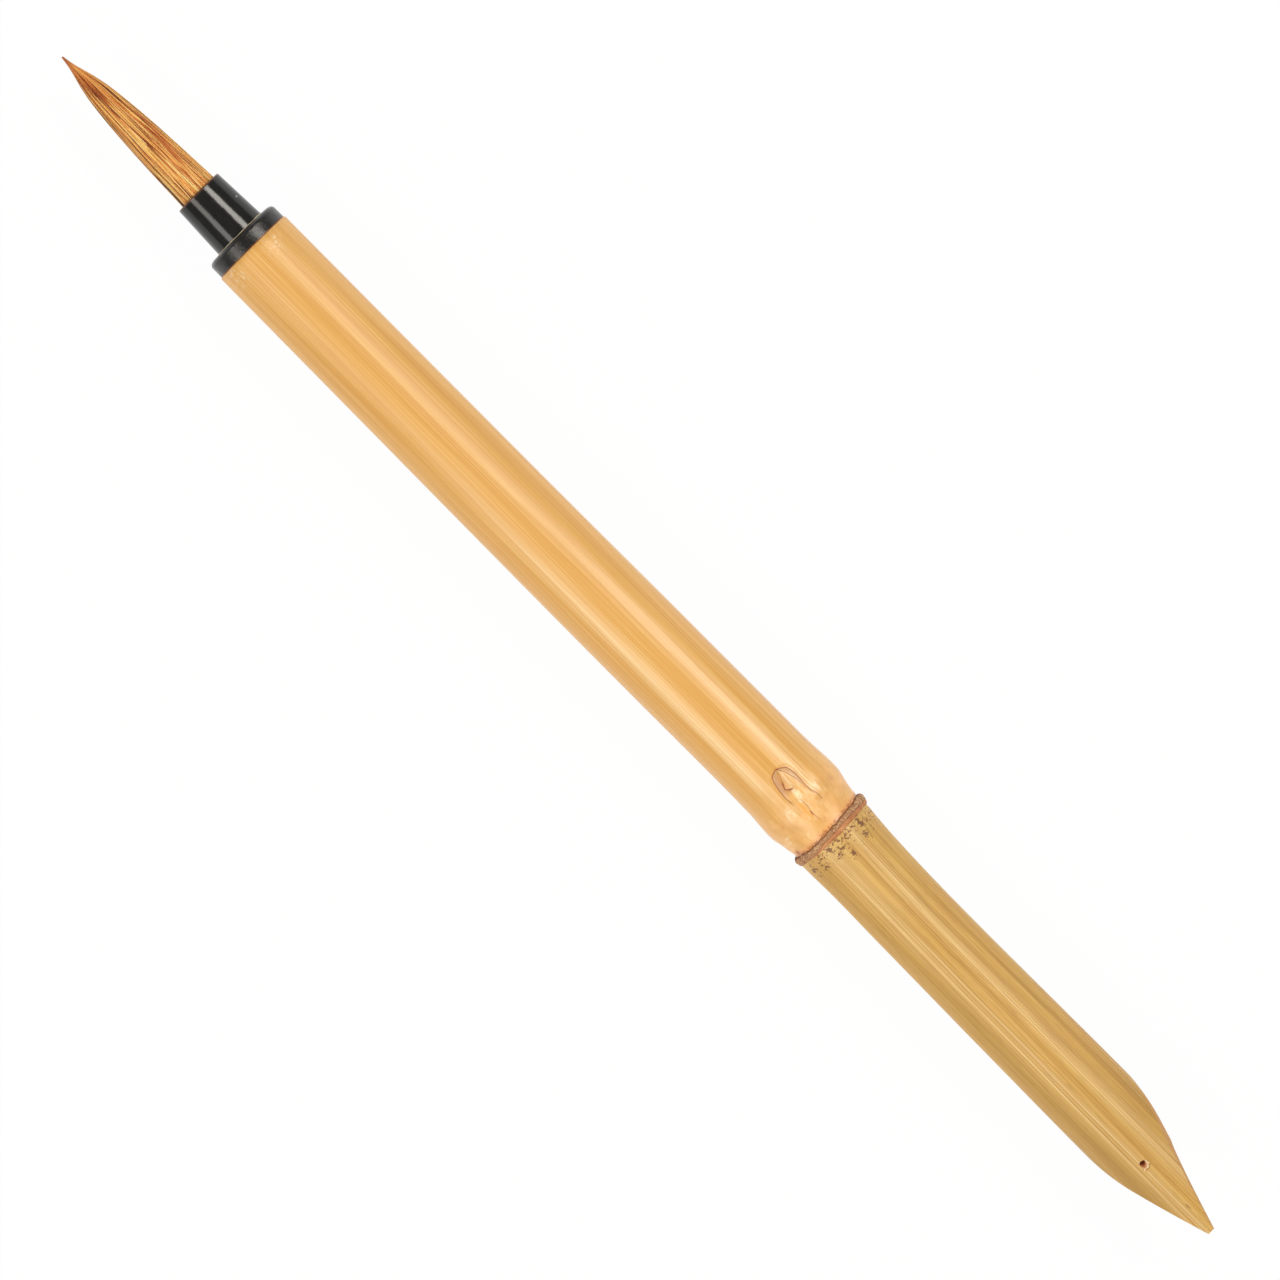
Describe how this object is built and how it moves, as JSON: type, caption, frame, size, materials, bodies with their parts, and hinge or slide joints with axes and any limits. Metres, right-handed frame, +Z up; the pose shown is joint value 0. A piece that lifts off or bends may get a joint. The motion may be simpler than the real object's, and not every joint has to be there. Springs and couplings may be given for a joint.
{
  "type": "calligraphy brush",
  "caption": "Bamboo calligraphy brush: hair point in a black tapered ferrule and collar, a bamboo cane with a node and a bud, and a reed pen cut in its far end.",
  "frame": {"origin": "middle of the collar's front face, on the axis of the handle, where the ferrule meets the collar", "axes": "+X along the handle to the point of the pen, -X to the tip of the hair, +Z up, on the side of the cane that carries the bud and the pen's tongue"},
  "size_m": [0.2402, 0.0142, 0.0144],
  "materials": {
    "golden_hair": "soft animal hair, golden brown with dark streaks",
    "core_hair": "stiff animal hair, dark brown",
    "binding_thread": "waxed thread",
    "root_resin": "hardened rosin",
    "ferrule_black": "satin black, turned",
    "collar_black": "worn dull black with small chips",
    "glue": "dried glue, pale beige",
    "bamboo": "natural bamboo skin, tan above the node and olive green-brown below it",
    "sheath": "dry fibrous leaf sheath, grey-brown and red-brown",
    "bud_outer": "dry leaf scale",
    "bud_inner": "dry leaf scale, darker"
  },
  "bodies": {
    "root": {"hair_mantle": "golden_hair", "hair_reserve": "golden_hair", "hair_core": "core_hair", "root_binding": "binding_thread", "root_resin": "root_resin", "ferrule": "ferrule_black", "glue_bead": "glue", "collar": "collar_black", "bamboo_cane": "bamboo", "sheath_ring": "sheath", "bud_scale": "bud_outer", "bud_tip": "bud_inner"}
  },
  "joints": []
}
